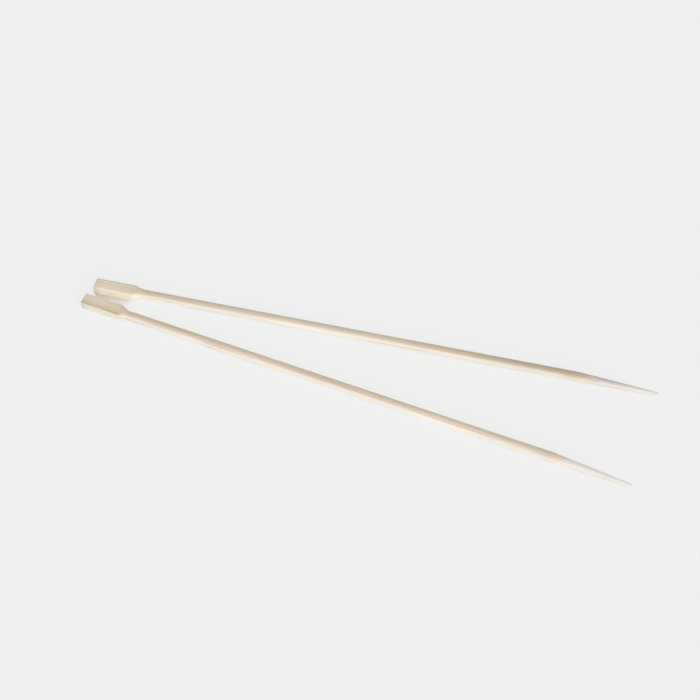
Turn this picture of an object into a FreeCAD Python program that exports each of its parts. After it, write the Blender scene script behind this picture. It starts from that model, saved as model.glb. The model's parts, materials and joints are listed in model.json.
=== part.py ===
import FreeCAD, Part
import math
import os

# Driving dimensions, in millimetres and degrees

# One chopstick, from the square head to the tip
STICK_LENGTH = 230.0
HEAD_LENGTH = 20.5          # head end to where the shoulder's hollow meets the round shaft
HEAD_WIDTH = 5.3            # outer side to split side
HEAD_THICKNESS = 4.4
SHOULDER_RADIUS = 7.2       # hollow that the cutter leaves where it runs out into the head
SHAFT_DIAMETER = 4.2
OUTER_STEP = 0.2            # how far the head's outer side stands out past the shaft
TAPER_LENGTH = 32.0
TIP_DIAMETER = 1.5
EDGE_BREAK = 0.2            # flat along the two outer long edges of the head

# The split side, where the two sticks were one blank
BEVEL_WIDTH = 0.4           # half of the guiding groove, across the head
BEVEL_DEPTH = 0.6           # the same groove's depth, from the upper or the lower face
WEB_HEIGHT = 2.2            # band that tore when the blank was split
TEAR_DEPTH = 0.15           # how far that band stands out of one stick and is missing in the other

# How the two lie beside each other
SPLAY_ANGLE = 8.8           # between the two shafts
END_GAP = 3.0               # between the split sides at the head ends
STAGGER = 1.4               # how much further back the right stick lies

SHAFT_RADIUS = SHAFT_DIAMETER / 2
TIP_RADIUS = TIP_DIAMETER / 2
AXIS_HEIGHT = HEAD_THICKNESS / 2
OUTER_SIDE = SHAFT_RADIUS + OUTER_STEP
SPLIT_SIDE = HEAD_WIDTH - OUTER_SIDE
TAPER_START = STICK_LENGTH - TAPER_LENGTH
TIP_CENTRE = STICK_LENGTH - TIP_RADIUS
# The tip is tapered from above, so its underside stays in line with the shaft's
TIP_HEIGHT = AXIS_HEIGHT - SHAFT_RADIUS + TIP_RADIUS

ALONG = FreeCAD.Vector(1, 0, 0)
UP = FreeCAD.Vector(0, 0, 1)


def head_blank(inward, tear):
    """The square bar that the head is cut from, with its split side towards inward, +1 or -1 on Y."""
    lower_band = AXIS_HEIGHT - WEB_HEIGHT / 2
    upper_band = AXIS_HEIGHT + WEB_HEIGHT / 2
    section = [
        (-OUTER_SIDE, EDGE_BREAK),
        (-OUTER_SIDE + EDGE_BREAK, 0),
        (SPLIT_SIDE - BEVEL_WIDTH, 0),
        (SPLIT_SIDE, BEVEL_DEPTH),
        (SPLIT_SIDE, lower_band),
        (SPLIT_SIDE + tear, lower_band),
        (SPLIT_SIDE + tear, upper_band),
        (SPLIT_SIDE, upper_band),
        (SPLIT_SIDE, HEAD_THICKNESS - BEVEL_DEPTH),
        (SPLIT_SIDE - BEVEL_WIDTH, HEAD_THICKNESS),
        (-OUTER_SIDE + EDGE_BREAK, HEAD_THICKNESS),
        (-OUTER_SIDE, HEAD_THICKNESS - EDGE_BREAK),
    ]
    corners = [FreeCAD.Vector(0, inward * across, height) for across, height in section]
    outline = Part.makePolygon(corners + corners[:1])
    return Part.Face(outline).extrude(ALONG * HEAD_LENGTH)


def cutter_form():
    """What the round cutter leaves standing: nothing of the head, then the shoulder's hollow."""
    reach = SHAFT_RADIUS + SHOULDER_RADIUS + HEAD_WIDTH + HEAD_THICKNESS
    hollow_start = HEAD_LENGTH - SHOULDER_RADIUS
    half_turn = math.radians(45)

    def at(along, out):
        return FreeCAD.Vector(along, 0, AXIS_HEIGHT + out)

    hollow = Part.Arc(
        at(hollow_start, SHAFT_RADIUS + SHOULDER_RADIUS),
        at(HEAD_LENGTH - SHOULDER_RADIUS * math.sin(half_turn),
           SHAFT_RADIUS + SHOULDER_RADIUS * (1 - math.cos(half_turn))),
        at(HEAD_LENGTH, SHAFT_RADIUS),
    ).toShape()
    rim = Part.makePolygon([
        at(HEAD_LENGTH, SHAFT_RADIUS),
        at(HEAD_LENGTH, 0),
        at(0, 0),
        at(0, reach),
        at(hollow_start, reach),
        at(hollow_start, SHAFT_RADIUS + SHOULDER_RADIUS),
    ])
    profile = Part.Face(Part.Wire(Part.__sortEdges__([hollow] + rim.Edges)))
    return profile.revolve(at(0, 0), ALONG, 360)


def round_shaft():
    """The straight round shaft, from the shoulder to the start of the taper."""
    start = FreeCAD.Vector(HEAD_LENGTH, 0, AXIS_HEIGHT)
    return Part.makeCylinder(SHAFT_RADIUS, TAPER_START - HEAD_LENGTH, start, ALONG)


def tapered_tip():
    """The taper, whose underside stays level, and its rounded end."""
    tip_centre = FreeCAD.Vector(TIP_CENTRE, 0, TIP_HEIGHT)
    shaft_end = Part.makeCircle(SHAFT_RADIUS, FreeCAD.Vector(TAPER_START, 0, AXIS_HEIGHT), ALONG)
    tip_end = Part.makeCircle(TIP_RADIUS, tip_centre, ALONG)
    taper = Part.makeLoft([Part.Wire([shaft_end]), Part.Wire([tip_end])], True, True)
    dome = Part.makeSphere(TIP_RADIUS, tip_centre, ALONG, 0, 90, 360)
    return [taper, dome]


def chopstick(inward, tear):
    """One whole stick along +X, lying on its flat face, with its shaft's axis over the X axis."""
    head = head_blank(inward, tear).common(cutter_form())
    stick = head.fuse([round_shaft()] + tapered_tip()).removeSplitter()
    return stick.Solids[0]


def place(stick, inward):
    """Turn a stick by half of the splay and set its head end beside the other's."""
    half_splay = -inward * SPLAY_ANGLE / 2
    aside = END_GAP / 2 + SPLIT_SIDE * math.cos(math.radians(half_splay))
    head_end = FreeCAD.Vector(-inward * STAGGER / 2, -inward * aside, 0)
    stick.Placement = FreeCAD.Placement(head_end, FreeCAD.Rotation(UP, half_splay))
    return stick


def lying_pair():
    """Both sticks, with the middle of their underside at the origin."""
    sticks = {
        "left_chopstick": place(chopstick(-1, TEAR_DEPTH), -1),
        "right_chopstick": place(chopstick(1, -TEAR_DEPTH), 1),
    }
    box = Part.makeCompound(list(sticks.values())).optimalBoundingBox()
    for stick in sticks.values():
        stick.translate(FreeCAD.Vector(-box.Center.x, -box.Center.y, -box.ZMin))
    return sticks


os.makedirs("parts", exist_ok=True)
for name, solid in lying_pair().items():
    solid.exportStep("parts/" + name + ".step")
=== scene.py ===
"""Bamboo chopsticks: the wood, its grain and lifted fibres, dressed over the solid model."""

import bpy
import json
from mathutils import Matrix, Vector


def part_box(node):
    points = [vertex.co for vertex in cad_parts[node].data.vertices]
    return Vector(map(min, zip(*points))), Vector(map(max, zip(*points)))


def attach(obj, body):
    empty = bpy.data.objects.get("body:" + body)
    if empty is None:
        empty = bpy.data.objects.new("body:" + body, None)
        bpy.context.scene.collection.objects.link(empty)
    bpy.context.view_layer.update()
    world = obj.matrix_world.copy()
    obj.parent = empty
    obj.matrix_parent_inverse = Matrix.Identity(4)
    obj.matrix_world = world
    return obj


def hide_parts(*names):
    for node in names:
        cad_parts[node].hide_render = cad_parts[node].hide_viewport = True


bl_info = {
    "name": "Bamboo chopsticks",
    "version": (1, 0, 0),
    "blender": (4, 5, 0),
    "location": "3D View > Sidebar > Chopsticks",
    "description": "Makes split bamboo chopsticks with their grain, torn edges and lifted fibres",
    "category": "Add Mesh",
}

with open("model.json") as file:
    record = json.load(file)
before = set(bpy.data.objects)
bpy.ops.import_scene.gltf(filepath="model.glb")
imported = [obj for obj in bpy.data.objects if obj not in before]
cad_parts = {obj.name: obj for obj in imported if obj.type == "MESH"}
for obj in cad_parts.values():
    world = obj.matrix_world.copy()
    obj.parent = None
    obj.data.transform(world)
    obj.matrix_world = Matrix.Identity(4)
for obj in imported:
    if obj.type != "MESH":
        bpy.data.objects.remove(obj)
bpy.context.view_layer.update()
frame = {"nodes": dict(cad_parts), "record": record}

import json
import math

import bmesh
import bpy
from mathutils import Vector

MM = 0.001

# The solid model's own places, from its shafts' mounts and its two sticks
SIDES = ("left", "right")
INWARD = {"left": -1, "right": 1}       # the split side's direction across each stick

# How the two sticks differ in their wood
GRAIN_SEED = {"left": 11.0, "right": 3.0}
TIP_DARKENING = {"left": 0.22, "right": -0.12}      # how much darker the wood grows towards the tip
TAPER_START_BROWN = {"left": 0.5, "right": 0.25}    # how brown it is where the taper starts
TAPER_PAINTED_SHADE = {"left": 0.6, "right": 0.12}        # painted shade: how much darker the taper's side towards +Y, away from the lamp, is painted
TORN_OUT = {"left": 1, "right": -1}                 # the torn band stands out or is missing


def shaft_mount(side):
    """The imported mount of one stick's round shaft."""
    return next(m for m in frame["record"]["mounts"] if m["name"] == side + "_shaft")


def measure_stick(side):
    """Where one stick lies and how far it reaches from its axis, in metres."""
    mount = shaft_mount(side)
    middle = Vector(mount["pos_m"])
    along = Vector(mount["axis"]).normalized()
    across = Vector((-along.y, along.x, 0)) * INWARD[side]
    half_shaft = mount["dims"]["length_mm"] * MM / 2
    corners = [v.co - middle for v in frame["nodes"][side + "_chopstick"].data.vertices]
    reach = [c.dot(along) for c in corners]
    aside = [c.dot(across) for c in corners]
    return {
        "head_end": middle + along * min(reach),
        "heading": math.atan2(along.y, along.x),
        "radius": mount["dims"]["r_mm"] * MM,
        "length": max(reach) - min(reach),
        "head_length": -half_shaft - min(reach),
        "taper_length": max(reach) - half_shaft,
        "outer_side": -min(aside),
        "split_side": max(aside),
    }


PLACES = {side: measure_stick(side) for side in SIDES}
LOW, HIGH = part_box("right_chopstick")


def length_property(name, description, default):
    return bpy.props.FloatProperty(
        name=name, description=description, default=default, min=0, precision=5,
        unit="LENGTH", subtype="DISTANCE")


def angle_property(name, description, degrees):
    return bpy.props.FloatProperty(
        name=name, description=description, default=math.radians(degrees),
        unit="ROTATION", subtype="ANGLE")


def amount_property(name, description, default, most=1000000.0):
    return bpy.props.FloatProperty(
        name=name, description=description, default=default, min=0, max=most, precision=4)


def colour_property(name, description, default):
    return bpy.props.FloatVectorProperty(
        name=name, description=description, default=default, size=3, min=0, max=1, subtype="COLOR")


class ChopstickSizes(bpy.types.PropertyGroup):
    """Sizes of one stick. Those that the solid model fixes come from it."""

    length: length_property("Length", "Head end to tip", PLACES["right"]["length"])
    head_length: length_property(
        "Head length", "Head end to the round shaft", PLACES["right"]["head_length"])
    head_thickness: length_property("Head thickness", "Under face to upper face", HIGH.z - LOW.z)
    outer_side: length_property(
        "Outer side", "Shaft's axis to the head's outer side", PLACES["right"]["outer_side"])
    split_side: length_property(
        "Split side", "Shaft's axis to the head's split side", PLACES["right"]["split_side"])
    shaft_radius: length_property("Shaft radius", "Radius of the shaft", PLACES["right"]["radius"])
    taper_length: length_property(
        "Taper length", "Start of the taper to the tip", PLACES["right"]["taper_length"])
    tip_radius: length_property("Tip radius", "Radius of the blunt tip", 0.75 * MM)
    shoulder_radius: length_property(
        "Shoulder radius", "Hollow between the head and the shaft", 7.2 * MM)
    edge_break: length_property("Edge break", "Flat along the head's outer edges", 0.2 * MM)
    bevel_width: length_property("Bevel width", "Half of the guiding groove, across", 0.4 * MM)
    bevel_depth: length_property("Bevel depth", "Depth of the guiding groove", 0.6 * MM)
    web_height: length_property("Web height", "Band that tore in the split", 2.2 * MM)
    tear_depth: length_property("Tear depth", "How far the torn band stands out", 0.15 * MM)


class WoodFinish(bpy.types.PropertyGroup):
    """Colours and figure of the bamboo."""

    ground: colour_property("Ground", "Soft tissue between the fibre bundles", (0.85, 0.81, 0.735))
    crown: colour_property("Crown", "Denser wood of the upper side", (0.52, 0.395, 0.265))
    inner: colour_property("Inner", "Paler wood of the under side", (0.94, 0.90, 0.845))
    fine_line: colour_property("Fine lines", "Thin fibres in the ground", (0.77, 0.68, 0.55))
    bundle: colour_property("Bundles", "Fibre bundles along the stick", (0.61, 0.47, 0.31))
    vessel: colour_property("Vessels", "Open vessels inside the bundles", (0.30, 0.20, 0.115))
    sanded: colour_property("Sanded", "Pale wood of the sanded taper", (0.74, 0.72, 0.695))
    # Painted shade: colour of the sanded taper's side away from the lamp
    painted_taper_shade: colour_property("Dulled", "Duller side of the sanded taper", (0.45, 0.41, 0.36))
    skin: colour_property("Skin", "Rest of the culm's skin along one edge", (0.47, 0.30, 0.15))
    # Partly a painted highlight: paler colour of the split side, besides its clean wood
    fresh_and_highlight: colour_property("Fresh", "Clean wood of the split side", (0.93, 0.875, 0.80))
    aged: colour_property("Aged", "Greenish grey of the sawn end", (0.62, 0.58, 0.42))
    bundle_spacing: length_property("Bundle spacing", "Distance between bundles", 0.72 * MM)
    bundle_length: length_property("Bundle length", "Visible run of one bundle", 70 * MM)
    fibre_width: length_property("Fibre width", "Width of the finest lines", 0.10 * MM)
    lifted_radius: length_property("Lifted radius", "Radius of one lifted fibre", 0.034 * MM)
    lifted_density: amount_property(
        "Lifted density", "Lifted fibres on a square metre of cut wood", 260000.0)


class StageSettings(bpy.types.PropertyGroup):
    """Camera, light and floor."""

    azimuth: angle_property("Azimuth", "Camera's angle round the sticks", 17.84)
    elevation: angle_property("Elevation", "Camera's angle above the floor", 53.27)
    distance: length_property("Distance", "Camera to the point that it looks at", 594.6 * MM)
    aim: bpy.props.FloatVectorProperty(
        name="Aim", description="Point on the floor that the camera looks at",
        default=(-5.6 * MM, 6.5 * MM, 0.0), size=3, unit="LENGTH", subtype="TRANSLATION")
    lens: amount_property("Lens", "Focal length in millimetres for a 36 mm wide image", 76.98)
    lamp_turn: angle_property("Lamp turn", "Lamp's angle to the right of the camera's", 25)
    lamp_elevation: angle_property("Lamp elevation", "Lamp's angle above the floor", 36)
    lamp_spread: angle_property("Lamp spread", "How wide the lamp looks from the sticks", 70)
    lamp_strength: amount_property("Lamp strength", "Light from the lamp", 1.9)
    room_strength: amount_property("Room strength", "Light from all round", 0.58)
    floor_reach: length_property("Floor reach", "Middle of the floor to its sides", 3.0)
    floor_shade: amount_property("Floor shade", "Brightness of the pale floor", 0.871, 1.0)
    shadow_share: amount_property(
        "Shadow share", "How strongly the floor shows the shadows", 0.2, 1.0)
    shadow_colour: colour_property(
        "Shadow colour", "Floor in the light and shadow of the lamp", (0.92, 0.92, 0.92))
    # Painted shade: the darker, browner floor between the two heads
    painted_gap_shade: colour_property("Gap colour", "Floor between the two heads", (0.72, 0.66, 0.58))


class Value:
    """A node's output, on which ordinary arithmetic adds Math nodes."""

    def __init__(self, graph, socket):
        self.graph = graph
        self.socket = socket

    def output(self, name):
        """Another output of the same node."""
        return Value(self.graph, self.socket.node.outputs[name])

    def __add__(self, other):
        return self.graph.math("ADD", self, other)

    def __radd__(self, other):
        return self.graph.math("ADD", other, self)

    def __sub__(self, other):
        return self.graph.math("SUBTRACT", self, other)

    def __rsub__(self, other):
        return self.graph.math("SUBTRACT", other, self)

    def __mul__(self, other):
        return self.graph.math("MULTIPLY", self, other)

    def __rmul__(self, other):
        return self.graph.math("MULTIPLY", other, self)

    def __truediv__(self, other):
        return self.graph.math("DIVIDE", self, other)

    def __rtruediv__(self, other):
        return self.graph.math("DIVIDE", other, self)


class Graph:
    """One node tree, for shapes or for a material."""

    def __init__(self, tree):
        self.tree = tree
        tree.nodes.clear()

    def add(self, kind, settings=None, sockets=None, output=0):
        """A node of that kind, with its settings made first, then its sockets filled or linked."""
        node = self.tree.nodes.new(kind)
        for name, setting in (settings or {}).items():
            setattr(node, name, setting)
        for name, value in (sockets or {}).items():
            if isinstance(value, Value):
                self.tree.links.new(value.socket, node.inputs[name])
            else:
                node.inputs[name].default_value = value
        return Value(self, node.outputs[output]) if len(node.outputs) else None

    def math(self, operation, *values):
        return self.add("ShaderNodeMath", {"operation": operation}, dict(enumerate(values)))

    def vector(self, operation, *values):
        return self.add("ShaderNodeVectorMath", {"operation": operation}, dict(enumerate(values)))

    def scaled(self, vector, factor):
        return self.add(
            "ShaderNodeVectorMath", {"operation": "SCALE"}, {"Vector": vector, "Scale": factor})

    def xyz(self, x, y, z):
        return self.add("ShaderNodeCombineXYZ", None, {"X": x, "Y": y, "Z": z})

    def ramp(self, value, start, end, low=0.0, high=1.0, smooth=True):
        """low where value is at start, high where it is at end, and held beyond both."""
        return self.add(
            "ShaderNodeMapRange",
            {"interpolation_type": "SMOOTHSTEP" if smooth else "LINEAR", "clamp": True},
            {"Value": value, "From Min": start, "From Max": end, "To Min": low, "To Max": high})

    def band(self, value, stretch, start=0.0):
        """1 between the two middle places of a stretch counted from start, 0 beyond its two ends."""
        rise, top, edge, end = (start + place for place in stretch)
        return self.ramp(value, rise, top) * self.ramp(value, end, edge)

    def mix(self, factor, first, second, blend="MIX"):
        """Two colours mixed by factor, each a link or three numbers."""
        first, second = (c if isinstance(c, Value) else (*c, 1.0) for c in (first, second))
        return self.add("ShaderNodeMix", {"data_type": "RGBA", "blend_type": blend},
                        {0: factor, 6: first, 7: second}, output=2)


# Patterns in the wood: how far each runs along the stick and how wide it is across
WANDER = (70 * MM, 9 * MM)              # slow bends of all fibres
DASHES = (16 * MM, 0.6 * MM)            # where a bundle is darker or paler
VESSEL_RUNS = (6 * MM, 0.8 * MM)        # where a bundle's vessels lie open
STREAKS = (55 * MM, 1.5 * MM)           # broad tan streaks in the ground
TONES = (38 * MM, 8 * MM)               # lighter and darker stretches
RIDGES = (45 * MM, 0.2 * MM)            # single fibres in the relief
UNEVENNESS = (24 * MM, 2.6 * MM)        # waves of the round shaft
SPLINTERS = (16 * MM, 0.24 * MM)        # threads of the torn band
TORN_PATCHES = (7 * MM, 0.9 * MM)       # deeper and shallower parts of the torn band
CHIPS = (5 * MM, 1.1 * MM)              # small chips along the head's edges
SAW_WAVES = (3 * MM, 0.5 * MM)          # waves of the sawn end
LINE_RUN = 30 * MM
PORE_RUN = 14 * MM
WANDER_REACH = 1.6 * MM                 # how far the slow bends carry a fibre aside
SEED_STEP = (13.7, 5.1, 9.3)            # how far the next seed's patterns lie away


class Grain:
    """The run of the fibres, the same for the shape of a stick and for its colours."""

    def __init__(self, graph, place, seed, finish):
        """place is the point in the stick's own frame: X along it, Y across, Z up."""
        self.graph = graph
        self.place = place
        self.finish = finish
        self.start = graph.scaled(SEED_STEP, seed)
        wander = graph.vector("SUBTRACT", self.noise(*WANDER, colour=True), (0.5, 0.5, 0.5))
        drift = graph.vector("MULTIPLY", wander, (0.0, WANDER_REACH, WANDER_REACH))
        self.place = graph.vector("ADD", place, drift)

    def pattern_place(self, along, across):
        """The point in units of a pattern's length along the stick and its width across."""
        size = (along, across, across)
        return self.graph.vector("ADD", self.graph.vector("DIVIDE", self.place, size), self.start)

    def noise(self, along, across, detail=2.0, colour=False):
        return self.graph.add(
            "ShaderNodeTexNoise", {"noise_dimensions": "3D"},
            {"Vector": self.pattern_place(along, across), "Scale": 1.0, "Detail": detail},
            output=1 if colour else 0)

    def bundles(self, closer=1.0):
        """Distance to the middle of the nearest fibre bundle, 0 at the middle."""
        spacing = self.finish.bundle_spacing * closer
        return self.graph.add(
            "ShaderNodeTexVoronoi", {"voronoi_dimensions": "3D", "feature": "F1"},
            {"Vector": self.pattern_place(self.finish.bundle_length, spacing),
             "Scale": 1.0, "Randomness": 0.85}, output="Distance")


def new_tree(name, inputs):
    """A node tree for shapes, with its inputs given as pairs of a name and a kind of socket."""
    tree = bpy.data.node_groups.new(name, "GeometryNodeTree")
    tree.interface.new_socket(name="Geometry", in_out="OUTPUT", socket_type="NodeSocketGeometry")
    for label, kind in inputs:
        tree.interface.new_socket(name=label, in_out="INPUT", socket_type="NodeSocket" + kind)
    return tree


def fill_inputs(modifier, values):
    """Set a modifier's inputs by the identifiers of its tree's named sockets."""
    for item in modifier.node_group.interface.items_tree:
        if item.item_type == "SOCKET" and item.in_out == "INPUT" and item.name in values:
            modifier[item.identifier] = values[item.name]


# Rings of the stick's mesh, one count for each stretch, and points round each ring
END_RINGS = 14
HEAD_RINGS = 36
SHOULDER_RINGS = 66
SHAFT_RINGS = 150
TAPER_RINGS = 58
DOME_RINGS = 9
POINTS_ROUND = 240

# Depths of the relief and of the wear, and how soft the edges are
LEAST_FACING = 0.001            # keeps the planes that face away far off
CORNER_SOFTNESS = 0.05 * MM
SHOULDER_SOFTNESS = 0.03 * MM
BAND_RIM = 0.1 * MM             # over which the torn band rises from the clean split side
SPLINTER_SHIFT = 0.35 * MM
SPLINTER_DEPTH = 0.32 * MM
CHIP_DEPTH = 0.16 * MM
FIBRE_RELIEF = 0.03 * MM
BUNDLE_RELIEF = 0.012 * MM
UNEVEN_SHAFT = 0.06 * MM
CUTTER_MARK = 0.02 * MM
CUTTER_STEP = 0.9 * MM
END_WEAR = 0.16 * MM
END_WEAR_WIDTH = 0.25 * MM
SAW_MARK = 0.07 * MM
SAW_MARK_REACH = 0.2 * MM
STRAIGHT_FADE = (2.5 * MM, 0.5 * MM)                # past the hollow's start
CUTTER_BAND = (0.0, 1.5 * MM, 4.5 * MM, 6.5 * MM)   # from the round shaft back into the hollow

CHIPS_SHOW = (0.50, 0.75)       # noise at which a chip starts and is whole
SPLINTERS_SHOW = (0.36, 0.62)
RIDGE_OF_BUNDLE = (0.16, 0.30)  # distance at which a bundle's ridge starts to fall and has ended
HOLLOW_ROUGHNESS = 0.2          # share of the torn band's roughness in the hollow
CUT_AWAY = 0.75                 # share of the relief that the cutter takes off in the hollow
TIP_SMOOTHNESS = 0.55           # share of the relief that the tip lacks

SIZE_INPUTS = (
    "length", "head_length", "head_thickness", "outer_side", "split_side", "shaft_radius",
    "taper_length", "tip_radius", "shoulder_radius", "edge_break", "bevel_width", "bevel_depth",
    "web_height")


def head_outline(graph, size, turn, tear, chips, torn):
    """Distance from the axis to the head's section at each turn, by the nearest of its planes."""
    half = size["head_thickness"] / 2

    def plane(distance, angle):
        facing = graph.math("COSINE", turn - angle)
        return distance / graph.math("MAXIMUM", facing, LEAST_FACING)

    slope = graph.math("ARCTAN2", size["bevel_width"], size["bevel_depth"])
    hypotenuse = graph.math("SQRT", size["bevel_width"] * size["bevel_width"]
                            + size["bevel_depth"] * size["bevel_depth"])
    groove = (size["split_side"] * size["bevel_depth"]
              + (half - size["bevel_depth"]) * size["bevel_width"]) / hypotenuse
    corner = (size["outer_side"] + half - size["edge_break"]) * math.sqrt(0.5) - chips
    height = size["split_side"] * graph.math("TANGENT", turn)
    band = graph.ramp(graph.math("ABSOLUTE", height) - torn * SPLINTER_SHIFT,
                      size["web_height"] / 2 + BAND_RIM, size["web_height"] / 2 - BAND_RIM)
    split = size["split_side"] + band * (tear - torn * SPLINTER_DEPTH)
    outline = plane(split, 0.0)
    for distance, angle in (
        (groove - chips, slope), (groove - chips, 0.0 - slope),
        (half, math.pi / 2), (half, -math.pi / 2),
        (corner, 0.75 * math.pi), (corner, -0.75 * math.pi),
        (size["outer_side"], math.pi),
    ):
        outline = graph.math("SMOOTH_MIN", outline, plane(distance, angle), CORNER_SOFTNESS)
    return outline


def stick_tree(finish):
    """The tree that shapes one stick from a unit tube, ring after ring from the head end."""
    tree = new_tree("chopstick", (
        ("Tube", "Geometry"), *((name, "Float") for name in SIZE_INPUTS), ("inward", "Float"),
        ("tear", "Float"), ("seed", "Float"), ("head_end", "Vector"), ("heading", "Float"),
        ("material", "Material")))
    graph = Graph(tree)
    given = graph.add("NodeGroupInput")
    size = {name: given.output(name) for name in SIZE_INPUTS}
    inward = given.output("inward")
    seed = given.output("seed")

    ring = graph.add("ShaderNodeSeparateXYZ", None, {"Vector": graph.add("GeometryNodeInputPosition")})
    turn = graph.math("ARCTAN2", ring.output("Z"), ring.output("Y"))

    # How far along the stick each ring stands
    taper_start = size["length"] - size["taper_length"]
    tip_centre = size["length"] - size["tip_radius"]
    hollow_start = size["head_length"] - size["shoulder_radius"]
    along = 0.0
    first = END_RINGS
    for count, reach in (
        (HEAD_RINGS, hollow_start), (SHOULDER_RINGS, size["shoulder_radius"]),
        (SHAFT_RINGS, taper_start - size["head_length"]), (TAPER_RINGS, tip_centre - taper_start),
    ):
        along = graph.ramp(ring, first, first + count, 0.0, reach, smooth=False) + along
        first += count
    dome = graph.ramp(ring, first, first + DOME_RINGS, 0.0, math.pi / 2, smooth=False)
    along = along + size["tip_radius"] * graph.math("SINE", dome)

    # The round form: the cutter's hollow, the shaft, the taper and the blunt tip
    half = size["head_thickness"] / 2
    taper = graph.ramp(along, taper_start, tip_centre, smooth=False)
    radius = size["shaft_radius"] - (size["shaft_radius"] - size["tip_radius"]) * taper
    height = half - (size["shaft_radius"] - size["tip_radius"]) * taper
    behind = graph.math("MINIMUM", graph.math("MAXIMUM", size["head_length"] - along, 0.0),
                        size["shoulder_radius"])
    hollow = size["shoulder_radius"] - graph.math(
        "SQRT", size["shoulder_radius"] * size["shoulder_radius"] - behind * behind)
    round_form = radius + hollow

    # The grain at the smooth surface, which the relief follows
    cosine = graph.math("COSINE", turn)
    sine = graph.math("SINE", turn)
    bare = graph.math("MINIMUM", head_outline(graph, size, turn, 0.0, 0.0, 0.0), round_form)
    rough = graph.xyz(along, inward * bare * cosine, half + bare * sine)
    rough_grain = Grain(graph, rough, seed, finish)
    straight = graph.ramp(along, hollow_start + STRAIGHT_FADE[0], hollow_start + STRAIGHT_FADE[1])
    chips = graph.ramp(rough_grain.noise(*CHIPS), *CHIPS_SHOW, 0.0, CHIP_DEPTH) * straight
    splinters = graph.ramp(rough_grain.noise(*SPLINTERS), *SPLINTERS_SHOW)
    torn = (rough_grain.noise(*TORN_PATCHES) * 0.5 + splinters * 0.5) * (
        HOLLOW_ROUGHNESS + straight * (1.0 - HOLLOW_ROUGHNESS))
    outline = head_outline(graph, size, turn, given.output("tear"), chips, torn)
    smooth = graph.math("SMOOTH_MIN", outline, round_form, SHOULDER_SOFTNESS)
    surface = graph.xyz(along, inward * smooth * cosine, height + smooth * sine)
    grain = Grain(graph, surface, seed, finish)

    # Relief, always inwards: grooves beside fibres and bundles, cutter marks and an uneven round
    ridges = 1.0 - grain.noise(*RIDGES, detail=3.0)
    between = graph.ramp(grain.bundles(), *RIDGE_OF_BUNDLE)
    uneven = grain.noise(*UNEVENNESS)
    on_shaft = graph.ramp(along, hollow_start, size["head_length"])
    chatter = graph.math("SINE", along * (2 * math.pi / CUTTER_STEP)) * 0.5 + 0.5
    in_hollow = graph.band(behind, CUTTER_BAND)
    uncut = 1.0 - in_hollow * CUT_AWAY
    grooves = ridges * FIBRE_RELIEF + between * BUNDLE_RELIEF
    relief = (grooves * uncut * (1.0 + on_shaft)
              + uneven * on_shaft * UNEVEN_SHAFT + chatter * in_hollow * CUTTER_MARK)
    worn = smooth - relief * (1.0 - taper * TIP_SMOOTHNESS)

    # The sawn end is a disc of rings with a softened rim, and the tip closes like a dome
    disc = graph.ramp(ring, 0.0, END_RINGS, smooth=False)
    rim = graph.ramp(along, 0.0, END_WEAR_WIDTH, END_WEAR, 0.0)
    reach = graph.math("MAXIMUM", worn - rim, 0.0) * disc * graph.math("COSINE", dome)
    across = inward * reach * cosine
    raised = height + reach * sine
    end_face = Grain(graph, graph.xyz(0.0, across, raised), seed, finish)
    saw = graph.ramp(along, SAW_MARK_REACH, 0.0, 0.0, SAW_MARK) * end_face.noise(*SAW_WAVES)
    place = graph.xyz(along + saw, across, raised)

    shaped = graph.add("GeometryNodeSetPosition", None, {"Geometry": given, "Position": place})
    laid = graph.add(
        "GeometryNodeTransform", None,
        {"Geometry": shaped, "Translation": given.output("head_end"),
         "Rotation": graph.xyz(0.0, 0.0, given.output("heading"))})
    soft = graph.add("GeometryNodeSetShadeSmooth", None, {"Geometry": laid})
    whole = graph.add("GeometryNodeRealizeInstances", None, {"Geometry": soft})
    dressed = graph.add("GeometryNodeSetMaterial", None,
                        {"Geometry": whole, "Material": given.output("material")})
    graph.add("NodeGroupOutput", None, {"Geometry": dressed})
    return tree


# Where fibres lift, each counted from the place that its comment names
SPLIT_FADE = 6 * MM                                 # before the round shaft, on the split side
SHOULDER_BAND = (-6 * MM, -3 * MM, 0.0, 2 * MM)     # from the round shaft's start
TAPER_FADE = 8 * MM                                 # past the taper's start
BARE_FACES = (0.5 * MM, 0.7 * MM)                   # below the upper face, above the under face
BARE_END = (0.8 * MM, 2 * MM)                       # past the sawn end
BARE_TIP = (8 * MM, 13 * MM)                        # before the tip
FULL_LENGTH = (0.4 * MM, 6 * MM)                    # past the sawn end, from short to long fibres
FACING_SPLIT = (0.7, 0.95)                          # how squarely a face looks to the split side

# How densely fibres stand on each part, and the ranges in which they differ
SPLIT_CROWD = 3.0
SHOULDER_CROWD = 1.2
TAPER_CROWD = 0.5
SHAFT_CROWD = 0.12
FORWARD = (-0.6, 1.0)           # those above 0 lie towards the tip
LIFT = (0.0, 0.10)
LENGTHS = (0.25, 1.0)
LENGTH_POWER = 2.0              # makes short ones more common
SHORTEST = 0.06                 # length left at the sawn end
BENDS = (0.5, 1.0)
CURLS = (0.4, 1.0)

# One lifted fibre at its full size, as a thin bent line
FIBRE_LINE = {
    "Resolution": 6, "Start": (0.0, 0.0, -0.03 * MM), "Start Handle": (1.6 * MM, 0.0, 0.0),
    "End Handle": (3.2 * MM, 0.08 * MM, 0.08 * MM), "End": (4.5 * MM, -0.05 * MM, 0.32 * MM)}
FIBRE_SIDES = 5
ROOT_SWELL = (0.0, 0.25, 0.35, 1.0)     # from and to those places on the line, and the widths there
END_SWELL = (1.0, 0.35, 0.12, 1.0)


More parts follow.
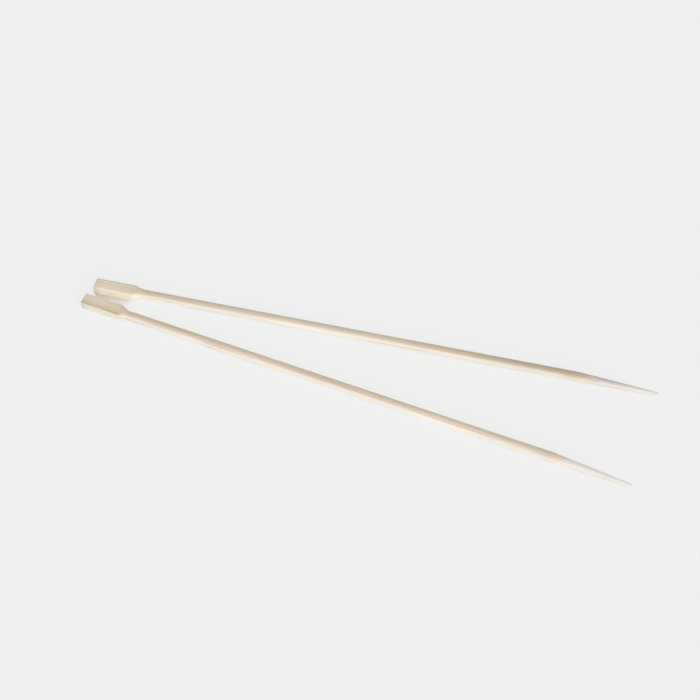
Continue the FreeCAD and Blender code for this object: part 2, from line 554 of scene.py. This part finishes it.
def fibre_tree():
    """The tree that scatters thin lifted fibres over a stick and lays them along its grain."""
    tree = new_tree("lifted_fibres", (
        ("Geometry", "Geometry"), ("head_end", "Vector"), ("along", "Vector"), ("inward", "Vector"),
        ("length", "Float"), ("head_length", "Float"), ("head_thickness", "Float"),
        ("taper_length", "Float"), ("density", "Float"), ("thickness", "Float"), ("seed", "Int"),
        ("material", "Material")))
    graph = Graph(tree)
    given = graph.add("NodeGroupInput")
    seed = given.output("seed")

    # Most stand on the torn split side, some on the shoulder and the taper, few on the shaft
    position = graph.add("GeometryNodeInputPosition")
    offset = graph.vector("SUBTRACT", position, given.output("head_end"))
    behind = graph.vector("DOT_PRODUCT", offset, given.output("along")).output("Value")
    ahead = given.output("length") - behind
    head_length = given.output("head_length")
    facing_split = graph.vector(
        "DOT_PRODUCT", graph.add("GeometryNodeInputNormal"), given.output("inward")).output("Value")
    before_shoulder = graph.ramp(behind, head_length, head_length - SPLIT_FADE)
    on_split = graph.ramp(facing_split, *FACING_SPLIT) * before_shoulder
    on_shoulder = graph.band(behind, SHOULDER_BAND, head_length)
    taper_length = given.output("taper_length")
    on_taper = graph.ramp(ahead, taper_length, taper_length - TAPER_FADE)
    height = graph.add("ShaderNodeSeparateXYZ", None, {"Vector": position}).output("Z")
    half = given.output("head_thickness") / 2
    above = graph.math("ABSOLUTE", height - half)
    clear = (graph.ramp(above, half - BARE_FACES[0], half - BARE_FACES[1])
             * graph.ramp(behind, *BARE_END) * graph.ramp(ahead, *BARE_TIP))
    crowd = (on_split * SPLIT_CROWD + on_shoulder * SHOULDER_CROWD + on_taper * TAPER_CROWD
             + SHAFT_CROWD) * clear
    spots = graph.add(
        "GeometryNodeDistributePointsOnFaces", {"distribute_method": "RANDOM"},
        {"Mesh": given, "Density": given.output("density") * crowd, "Seed": seed})
    normal = spots.output("Normal")

    def chance(low, high, extra):
        return graph.add(
            "FunctionNodeRandomValue", {"data_type": "FLOAT"},
            {2: low, 3: high, "Seed": graph.math("ADD", seed, extra)}, output=1)

    # One fibre is a thin bent spindle that lies along X and curls up at its far end
    line = graph.add("GeometryNodeCurvePrimitiveBezierSegment", {"mode": "POSITION"}, FIBRE_LINE)
    parameter = graph.add("GeometryNodeSplineParameter")
    swell = graph.ramp(parameter, *ROOT_SWELL) * graph.ramp(parameter, *END_SWELL)
    section = graph.add("GeometryNodeCurvePrimitiveCircle", {"mode": "RADIUS"},
                        {"Resolution": FIBRE_SIDES, "Radius": given.output("thickness")})
    spindle = graph.add(
        "GeometryNodeCurveToMesh", None,
        {"Curve": line, "Profile Curve": section, "Scale": swell, "Fill Caps": True})

    lie = graph.scaled(given.output("along"), graph.math("SIGN", chance(*FORWARD, 1)))
    lifted = graph.vector("ADD", lie, graph.scaled(normal, chance(*LIFT, 2)))
    facing = graph.add("FunctionNodeAlignRotationToVector", {"axis": "X"}, {"Vector": lifted})
    rolled = graph.add("FunctionNodeAlignRotationToVector", {"axis": "Z", "pivot_axis": "X"},
                       {"Rotation": facing, "Vector": normal})
    long = graph.math("POWER", chance(*LENGTHS, 3), LENGTH_POWER) * graph.ramp(
        behind, *FULL_LENGTH, SHORTEST, 1.0, smooth=False)
    fibres = graph.add(
        "GeometryNodeInstanceOnPoints", None,
        {"Points": spots, "Instance": spindle, "Rotation": rolled,
         "Scale": graph.xyz(long, chance(*BENDS, 4), chance(*CURLS, 5))})
    whole = graph.add("GeometryNodeRealizeInstances", None, {"Geometry": fibres})

    soft = graph.add("GeometryNodeSetShadeSmooth", None, {"Geometry": whole})
    dressed = graph.add("GeometryNodeSetMaterial", None,
                        {"Geometry": soft, "Material": given.output("material")})
    graph.add("NodeGroupOutput", None, {"Geometry": dressed})
    return tree


def shaped_mesh(name, tree, values, start):
    """A plain mesh object made from a start mesh by a tree. The modifier is gone before the return."""
    holder = bpy.data.objects.new(name + "_holder", start)
    bpy.context.scene.collection.objects.link(holder)
    modifier = holder.modifiers.new("shape", "NODES")
    modifier.node_group = tree
    fill_inputs(modifier, values)
    ready = holder.evaluated_get(bpy.context.evaluated_depsgraph_get())
    mesh = bpy.data.meshes.new_from_object(ready)
    mesh.name = name
    bpy.data.objects.remove(holder)
    if not mesh.polygons:
        raise RuntimeError(name + " came out empty")
    piece = bpy.data.objects.new(name, mesh)
    bpy.context.scene.collection.objects.link(piece)
    return piece


def unit_tube(name, inward):
    """A closed tube along X, one ring per unit, of radius 1, which faces outward once it is shaped."""
    rings = END_RINGS + HEAD_RINGS + SHOULDER_RINGS + SHAFT_RINGS + TAPER_RINGS + DOME_RINGS
    shell = bmesh.new()
    first, last = (shell.verts.new((end, 0, 0)) for end in (0, rings))
    turns = [2 * math.pi * step / POINTS_ROUND for step in range(POINTS_ROUND)]
    rows = [[shell.verts.new((ring, math.cos(turn), math.sin(turn))) for turn in turns]
            for ring in range(1, rings)]
    for step in range(POINTS_ROUND):
        after = (step + 1) % POINTS_ROUND
        shell.faces.new((first, rows[0][after], rows[0][step]))
        shell.faces.new((last, rows[-1][step], rows[-1][after]))
        for near, far in zip(rows, rows[1:]):
            shell.faces.new((near[step], near[after], far[after], far[step]))
    if inward < 0:
        bmesh.ops.reverse_faces(shell, faces=shell.faces)
    mesh = bpy.data.meshes.new(name)
    shell.to_mesh(mesh)
    shell.free()
    return mesh


# Where along a stick its wood changes, each counted from the place that its comment names
AGED_DEPTH = 4.0 * MM                               # past the sawn end
END_GRAIN = (0.25 * MM, 0.05 * MM)                  # past the sawn end, without and with its dots
HEAD_FADE = 6 * MM                                  # before the round shaft
CUT_FIBRES = (-7 * MM, -5.5 * MM, -2 * MM, 0.0)     # from the round shaft's start
SHOULDER_SHADE = 3 * MM                             # past the sawn end, before the round shaft
TIP_SHADE_START = 90 * MM                           # past the sawn end
TAPER_BAND = (-10 * MM, -2 * MM, 3 * MM, 10 * MM)   # from the taper's start
SANDED_FADE = (2 * MM, 9 * MM)                      # past the taper's start
# Where the painted shade on the taper's side away from the lamp starts and ends
PAINTED_SHADE_START = 8 * MM                                 # past the taper's start
PAINTED_SHADE_END = 4 * MM                                   # past the tip

# Where across a stick its wood changes, as heights above the floor unless the comment says more
CROWN = (3.60 * MM, 4.45 * MM)          # foot and top of the denser upper side
CROWN_RAGGED = 0.5 * MM                 # how far the fine lines shift its foot
UNDER_SIDE = (2.9 * MM, 1.8 * MM)       # start and full tone of the paler under side
PAINTED_SHADE_HEIGHT = 1.6 * MM                  # middle of the taper's painted shade, away from the lamp
PAINTED_SHADE_FADE = (-0.5 * MM, 0.9 * MM)       # over which that painted shade fades in
TAPER_BAND_FADE = 0.8 * MM              # the same for the brown at the taper's start
FRESH_HIGHLIGHT_FADE = (0.5 * MM, 0.3 * MM)       # inside the split side
SKIN_FADE = (1.15 * MM, 0.55 * MM)      # inside the upper outer edge
SKIN_RAGGED = 0.8 * MM                  # how far the fine lines shift the skin's rim

SAW_LINES = (4 * MM, 0.16 * MM)         # run and width of the saw's lines on the sawn end
BUMP_DEPTH = 0.05 * MM

# Noise at which a pattern starts to show and shows fully
LINES_SHOW = (0.44, 0.68)
CROWN_LINES_SHOW = (0.50, 0.70)
STREAKS_SHOW = (0.35, 0.7)
PORES_SHOW = (0.48, 0.66)
VESSELS_SHOW = (0.50, 0.68)
SAW_LINES_SHOW = (0.45, 0.65)
TONES_SHOW = (0.3, 0.7, 0.93, 1.02)     # and the shades at both

# Distances from a bundle's middle at its rim and at its core, where 1 is about one spacing
BUNDLE = (0.27, 0.13)
BUNDLE_IN_CROWN = (0.08, 0.05)          # how much further in the denser wood
SMALL_BUNDLE = (0.30, 0.12)
VESSEL = (0.20, 0.05)
DOT = (0.36, 0.25)
SMALL_DOT = (0.32, 0.20)
DARK_DOT = (0.16, 0.08)
DOT_RAGGED = 0.30                       # how far the fine lines shift a dot's rim

# How strongly each layer of colour covers those before it
LINE_SHARE = 0.75
STREAK_SHARE = 0.35
INNER_SHARE = 0.5
CROWN_SHARE = 0.60
CROWN_LINE_SHARE = 0.22
SANDED_SHARE = 0.75
PORE_SHARE = 0.4
VESSEL_SHARE = 0.6
FRESH_HIGHLIGHT_SHARE = 0.2
AGED_SHARE = 0.45
DOT_SHARE = 0.5
DARK_DOT_SHARE = 0.6
SAW_LINE_SHARE = 0.16
SKIN_SHARE = 0.7


def bamboo_material(name, side, finish, sizes):
    """Cut bamboo: cream ground, tan bundles with dark vessels, fine lines, sanded taper, skin edge."""
    place = PLACES[side]
    material = bpy.data.materials.new(name)
    material.use_nodes = True
    graph = Graph(material.node_tree)
    local = graph.add(
        "ShaderNodeMapping", {"vector_type": "TEXTURE"},
        {"Vector": graph.add("ShaderNodeTexCoord", output="Object"),
         "Location": place["head_end"].to_tuple()[:2] + (0.0,),
         "Rotation": (0.0, 0.0, place["heading"])})
    point = graph.add("ShaderNodeSeparateXYZ", None, {"Vector": local})
    beyond = point.output("Y")
    across = beyond * INWARD[side]
    up = point.output("Z")
    grain = Grain(graph, local, GRAIN_SEED[side], finish)

    # Stretches along the stick
    head_length = sizes.head_length
    taper_start = sizes.length - sizes.taper_length
    sawn = graph.ramp(point, AGED_DEPTH, 0.0)
    end_grain = graph.ramp(point, *END_GRAIN)
    on_head = graph.ramp(point, head_length, head_length - HEAD_FADE)
    cut_across = graph.band(point, CUT_FIBRES, head_length)
    toward_shoulder = graph.ramp(point, SHOULDER_SHADE, head_length - SHOULDER_SHADE)
    toward_tip = graph.ramp(point, TIP_SHADE_START, taper_start)
    taper_band = graph.band(point, TAPER_BAND, taper_start)
    sanded = graph.ramp(point, taper_start + SANDED_FADE[0], taper_start + SANDED_FADE[1])

    # The figure: fine lines, fibre bundles with their vessels, and the saw's lines
    lines = grain.noise(LINE_RUN, finish.fibre_width, detail=3.0)
    dashes = grain.noise(*DASHES)
    streaks = grain.noise(*STREAKS)
    tone = grain.noise(*TONES)
    pores = grain.noise(PORE_RUN, finish.fibre_width * 2)
    spot = grain.bundles()
    small_spot = grain.bundles(closer=0.5)
    saw_run, saw_width = SAW_LINES
    saw_lines = graph.add(
        "ShaderNodeTexNoise", {"noise_dimensions": "3D"},
        {"Vector": graph.xyz(GRAIN_SEED[side], across / saw_run, (up + across * 0.2) / saw_width),
         "Scale": 1.0, "Detail": 2.0})

    # The culm's denser wood is the upper side of both sticks, as they came from one strip
    skin_side = graph.ramp(up + lines * CROWN_RAGGED, *CROWN)
    under_side = graph.ramp(up, *UNDER_SIDE) * (1.0 - on_head * 0.7)
    rim, core = (plain + skin_side * further for plain, further in zip(BUNDLE, BUNDLE_IN_CROWN))
    bundle = graph.ramp(spot, rim, core) * (0.45 + dashes * 0.75) * (1.0 - on_head * 0.3)
    small_bundle = graph.ramp(small_spot, *SMALL_BUNDLE) * skin_side * (0.25 + dashes * 0.5)
    vessel = graph.ramp(spot, *VESSEL) * graph.ramp(grain.noise(*VESSEL_RUNS), *VESSELS_SHOW)

    # The wood's colour, from its ground up to its bundles
    fine_lines = graph.ramp(lines, *LINES_SHOW) * LINE_SHARE
    colour = graph.mix(fine_lines, finish.ground, finish.fine_line)
    colour = graph.mix(graph.ramp(streaks, *STREAKS_SHOW) * STREAK_SHARE, colour, finish.fine_line)
    colour = graph.mix(under_side * INNER_SHARE, colour, finish.inner)
    paler = on_head * (0.38 - toward_shoulder * 0.12)
    brown = skin_side * (CROWN_SHARE - paler + toward_tip * TIP_DARKENING[side])
    colour = graph.mix(brown, colour, finish.crown)
    crown_lines = graph.ramp(lines, *CROWN_LINES_SHOW) * skin_side * CROWN_LINE_SHARE
    colour = graph.mix(crown_lines, colour, finish.bundle)
    colour = graph.mix(bundle, colour, finish.bundle)
    colour = graph.mix(small_bundle, colour, finish.bundle)

    # The sanded taper, brown where it starts, with painted shade along its side towards +Y, away from
    # the lamp
    painted_shade_side = graph.ramp(beyond * 0.8 + (up - PAINTED_SHADE_HEIGHT) * 0.6, *PAINTED_SHADE_FADE) * graph.ramp(
        point, sizes.length + PAINTED_SHADE_END, taper_start + PAINTED_SHADE_START)
    taper_shade = sanded * painted_shade_side * (0.6 + pores * 0.8) * TAPER_PAINTED_SHADE[side]
    brown_side = graph.ramp(up - sizes.head_thickness / 2 + beyond * 0.7,
                            -TAPER_BAND_FADE, TAPER_BAND_FADE)
    colour = graph.mix(sanded * (SANDED_SHARE - bundle * 0.35), colour, finish.sanded)
    open_pores = graph.ramp(pores, *PORES_SHOW) * sanded * PORE_SHARE
    colour = graph.mix(open_pores, colour, finish.fine_line)
    # Painted shade on the taper's side towards +Y, away from the lamp
    colour = graph.mix(taper_shade, colour, finish.painted_taper_shade)
    colour = graph.mix(taper_band * brown_side * TAPER_START_BROWN[side], colour, finish.crown)
    colour = graph.mix(vessel * (VESSEL_SHARE - sanded * 0.3), colour, finish.vessel)

    # The split side, paler for its clean wood and partly as a painted highlight, and the sawn end,
    # with the dots of its bundles
    # Paler split side: its clean wood and partly a painted highlight
    fresh_and_highlight = graph.ramp(across, sizes.split_side - FRESH_HIGHLIGHT_FADE[0], sizes.split_side - FRESH_HIGHLIGHT_FADE[1])
    colour = graph.mix(fresh_and_highlight * FRESH_HIGHLIGHT_SHARE, colour, finish.fresh_and_highlight)
    colour = graph.mix(sawn * AGED_SHARE, colour, finish.aged)
    ragged = lines * DOT_RAGGED - DOT_RAGGED / 2
    dots = graph.ramp(spot + ragged, *DOT) * DOT_SHARE
    small_dots = graph.ramp(small_spot + ragged, *SMALL_DOT) * (0.16 + skin_side * 0.35)
    dark_dots = graph.ramp(spot + ragged, *DARK_DOT) * DARK_DOT_SHARE
    saw_marks = graph.ramp(saw_lines, *SAW_LINES_SHOW) * SAW_LINE_SHARE
    colour = graph.mix(end_grain * graph.math("MAXIMUM", dots, small_dots), colour, finish.bundle)
    colour = graph.mix(end_grain * dark_dots, colour, finish.vessel)
    colour = graph.mix(end_grain * saw_marks, colour, finish.bundle)

    # The rest of the skin along the upper outer edge
    corner = sizes.head_thickness + sizes.outer_side
    edge = graph.ramp(up - across - lines * SKIN_RAGGED, corner - SKIN_FADE[0], corner - SKIN_FADE[1])
    colour = graph.mix(edge * SKIN_SHARE, colour, finish.skin)

    # Slow changes of tone, warmer on the head
    shade = graph.ramp(tone, *TONES_SHOW) - toward_tip * (TIP_DARKENING[side] * 0.3)
    warmth = graph.xyz(shade, shade * (0.996 - on_head * 0.014), shade * (0.99 - on_head * 0.05))
    colour = graph.mix(1.0, colour, warmth, blend="MULTIPLY")

    # Relief that is finer than the mesh
    height = (lines * 0.6 + bundle * 0.35 - vessel * 0.4) * (1.0 - cut_across * 0.7) + (
        saw_lines * end_grain * 1.6)
    bump = graph.add("ShaderNodeBump", None,
                     {"Strength": 0.45, "Distance": BUMP_DEPTH, "Height": height})
    roughness = 0.50 + lines * 0.22 + vessel * 0.2 - bundle * 0.06
    surface = graph.add(
        "ShaderNodeBsdfPrincipled", None,
        {"Base Color": colour, "Roughness": roughness, "Normal": bump, "IOR": 1.45,
         "Specular IOR Level": 0.42})
    graph.add("ShaderNodeOutputMaterial", None, {"Surface": surface})
    return material


class OBJECT_OT_chopstick_wood(bpy.types.Operator):
    """Shape both sticks, with their grain, torn split sides and worn edges"""

    bl_idname = "object.chopstick_wood"
    bl_label = "Sticks"

    def execute(self, context):
        sizes = context.scene.chopstick_sizes
        finish = context.scene.wood_finish
        tree = stick_tree(finish)
        for side in SIDES:
            place = PLACES[side]
            head_end = place["head_end"].copy()
            head_end.z = 0.0
            values = {name: getattr(sizes, name) for name in SIZE_INPUTS}
            values.update({
                "inward": float(INWARD[side]),
                "tear": sizes.tear_depth * TORN_OUT[side],
                "seed": GRAIN_SEED[side],
                "head_end": head_end,
                "heading": place["heading"],
                "material": bamboo_material(side + "_bamboo", side, finish, sizes),
            })
            tube = unit_tube(side + "_tube", INWARD[side])
            stick = shaped_mesh(side + "_stick", tree, values, tube)
            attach(stick, "root")
            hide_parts(side + "_chopstick")
        return {"FINISHED"}


class OBJECT_OT_lifted_fibres(bpy.types.Operator):
    """Scatter thin fibres that stand up from the cut surfaces"""

    bl_idname = "object.lifted_fibres"
    bl_label = "Lifted fibres"

    def execute(self, context):
        sizes = context.scene.chopstick_sizes
        finish = context.scene.wood_finish
        tree = fibre_tree()
        for side in SIDES:
            place = PLACES[side]
            along = Vector((math.cos(place["heading"]), math.sin(place["heading"]), 0.0))
            source = bpy.data.objects[side + "_stick"].data.copy()
            values = {
                "head_end": place["head_end"],
                "along": along,
                "inward": Vector((-along.y, along.x, 0.0)) * INWARD[side],
                "length": sizes.length,
                "head_length": sizes.head_length,
                "head_thickness": sizes.head_thickness,
                "taper_length": sizes.taper_length,
                "density": finish.lifted_density,
                "thickness": finish.lifted_radius,
                "seed": int(GRAIN_SEED[side]),
                "material": bpy.data.materials[side + "_bamboo"],
            }
            fibres = shaped_mesh(side + "_fibres", tree, values, source)
            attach(fibres, "root")
        return {"FINISHED"}


# The floor between the two heads, painted darker and browner as shade where hardly any light reaches
# it
GAP_SIDES = (2.2 * MM, 1.0 * MM)    # past the split sides, from the open to the dim floor
GAP_END = (1 * MM, 6 * MM)          # before the round shafts, from the open to the dim floor
GAP_SIGHT = 12 * MM                 # how near something has to be to hide the sky
GAP_SKY = (0.65, 0.40)              # share of open sky, from the open to the dim floor


def grey(shade):
    """A grey as a colour socket takes it."""
    return (shade, shade, shade, 1.0)


def floor_material(stage):
    """A pale floor that glows evenly on the sticks and shows the camera soft shadows."""
    material = bpy.data.materials.new("pale_floor")
    material.use_nodes = True
    graph = Graph(material.node_tree)
    path = graph.add("ShaderNodeLightPath")
    seen = graph.math("MAXIMUM", path, graph.math(
        "MAXIMUM", path.output("Is Glossy Ray"), path.output("Is Transmission Ray")))
    glow = graph.add("ShaderNodeEmission", None, {"Color": grey(stage.floor_shade), "Strength": 1.0})
    lit = graph.add("ShaderNodeBsdfDiffuse", None, {"Color": (*stage.shadow_colour, 1.0)})
    open_floor = graph.add("ShaderNodeMixShader", None, {0: stage.shadow_share, 1: glow, 2: lit})

    # The floor painted darker as shade takes over between the heads, but only where they hide most of
    # the sky
    spot = graph.add("ShaderNodeSeparateXYZ", None,
                     {"Vector": graph.add("ShaderNodeTexCoord", output="Object")})
    far, near = (
        PLACES[side]["head_end"].y + INWARD[side] * PLACES[side]["split_side"] for side in SIDES)
    half_gap = (far - near) / 2
    shaft_start = PLACES["right"]["head_end"].x + PLACES["right"]["head_length"]
    aside = graph.math("ABSOLUTE", spot.output("Y") - (far + near) / 2)
    between = graph.ramp(aside, half_gap + GAP_SIDES[0], half_gap + GAP_SIDES[1]) * graph.ramp(
        spot, shaft_start - GAP_END[0], shaft_start - GAP_END[1])
    open_sky = graph.add(
        "ShaderNodeAmbientOcclusion", {"samples": 16}, {"Distance": GAP_SIGHT}, output="AO")
    # Painted shade: a darker, browner floor colour
    dim = graph.add("ShaderNodeBsdfDiffuse", None, {"Color": (*stage.painted_gap_shade, 1.0)})
    shown = graph.add("ShaderNodeMixShader", None,
                      {0: between * graph.ramp(open_sky, *GAP_SKY), 1: open_floor, 2: dim})
    floor = graph.add("ShaderNodeMixShader", None, {0: seen, 1: glow, 2: shown})
    graph.add("ShaderNodeOutputMaterial", None, {"Surface": floor})
    return material


def towards(azimuth, elevation):
    """The direction from the sticks at those angles. Azimuth 0 is the side of -Y."""
    return Vector((
        math.sin(azimuth) * math.cos(elevation),
        -math.cos(azimuth) * math.cos(elevation),
        math.sin(elevation)))


def soft_light(name, direction, spread, strength):
    """A distant lamp whose disc is as wide as spread."""
    data = bpy.data.lights.new(name, "SUN")
    data.angle = spread
    data.energy = strength
    lamp = bpy.data.objects.new(name, data)
    lamp.location = direction
    lamp.rotation_euler = (-direction).to_track_quat("-Z", "Y").to_euler()
    bpy.context.scene.collection.objects.link(lamp)


IMAGE_WIDTH = 36                # in millimetres, as Blender takes it
NEAREST_SEEN = 10 * MM


class SCENE_OT_chopstick_stage(bpy.types.Operator):
    """Set the pale floor, the soft light and the camera"""

    bl_idname = "scene.chopstick_stage"
    bl_label = "Stage"

    def execute(self, context):
        stage = context.scene.chopstick_stage
        reach = stage.floor_reach
        corners = [(-reach, -reach, 0), (reach, -reach, 0), (reach, reach, 0), (-reach, reach, 0)]
        mesh = bpy.data.meshes.new("floor")
        mesh.from_pydata(corners, [], [(0, 1, 2, 3)])
        floor = bpy.data.objects.new("floor", mesh)
        floor.data.materials.append(floor_material(stage))
        context.scene.collection.objects.link(floor)

        soft_light("key", towards(stage.azimuth + stage.lamp_turn, stage.lamp_elevation),
                   stage.lamp_spread, stage.lamp_strength)
        world = bpy.data.worlds.new("studio")
        context.scene.world = world
        world.use_nodes = True
        graph = Graph(world.node_tree)
        path = graph.add("ShaderNodeLightPath")
        room = graph.add("ShaderNodeBackground", None,
                         {"Color": grey(1.0), "Strength": stage.room_strength})
        pale = graph.add("ShaderNodeBackground", None,
                         {"Color": grey(stage.floor_shade), "Strength": 1.0})
        both = graph.add("ShaderNodeMixShader", None, {0: path, 1: room, 2: pale})
        graph.add("ShaderNodeOutputWorld", None, {"Surface": both})

        back = towards(stage.azimuth, stage.elevation)
        data = bpy.data.cameras.new("camera")
        data.sensor_width = IMAGE_WIDTH
        data.lens = stage.lens
        data.clip_start = NEAREST_SEEN
        camera = bpy.data.objects.new("camera", data)
        camera.location = Vector(stage.aim) + back * stage.distance
        camera.rotation_euler = (-back).to_track_quat("-Z", "Y").to_euler()
        context.scene.collection.objects.link(camera)
        context.scene.camera = camera
        context.scene.view_settings.view_transform = "Standard"
        return {"FINISHED"}


class VIEW3D_PT_chopsticks(bpy.types.Panel):
    """The chopsticks' pieces, in the order in which they are made"""

    bl_label = "Chopsticks"
    bl_idname = "VIEW3D_PT_chopsticks"
    bl_space_type = "VIEW_3D"
    bl_region_type = "UI"
    bl_category = "Chopsticks"

    def draw(self, context):
        for operator in OPERATORS:
            self.layout.operator(operator.bl_idname)
        for group in ("chopstick_sizes", "wood_finish", "chopstick_stage"):
            settings = getattr(context.scene, group)
            box = self.layout.box()
            for name in settings.bl_rna.properties.keys():
                if name not in ("rna_type", "name"):
                    box.prop(settings, name)


GROUPS = (ChopstickSizes, WoodFinish, StageSettings)
OPERATORS = (OBJECT_OT_chopstick_wood, OBJECT_OT_lifted_fibres, SCENE_OT_chopstick_stage)
CLASSES = GROUPS + OPERATORS + (VIEW3D_PT_chopsticks,)


def register():
    for cls in CLASSES:
        bpy.utils.register_class(cls)
    bpy.types.Scene.chopstick_sizes = bpy.props.PointerProperty(type=ChopstickSizes)
    bpy.types.Scene.wood_finish = bpy.props.PointerProperty(type=WoodFinish)
    bpy.types.Scene.chopstick_stage = bpy.props.PointerProperty(type=StageSettings)


def unregister():
    del bpy.types.Scene.chopstick_stage
    del bpy.types.Scene.wood_finish
    del bpy.types.Scene.chopstick_sizes
    for cls in reversed(CLASSES):
        bpy.utils.unregister_class(cls)


def main():
    register()
    bpy.ops.object.chopstick_wood()
    bpy.ops.object.lifted_fibres()
    bpy.ops.scene.chopstick_stage()


if __name__ == "__main__":
    main()
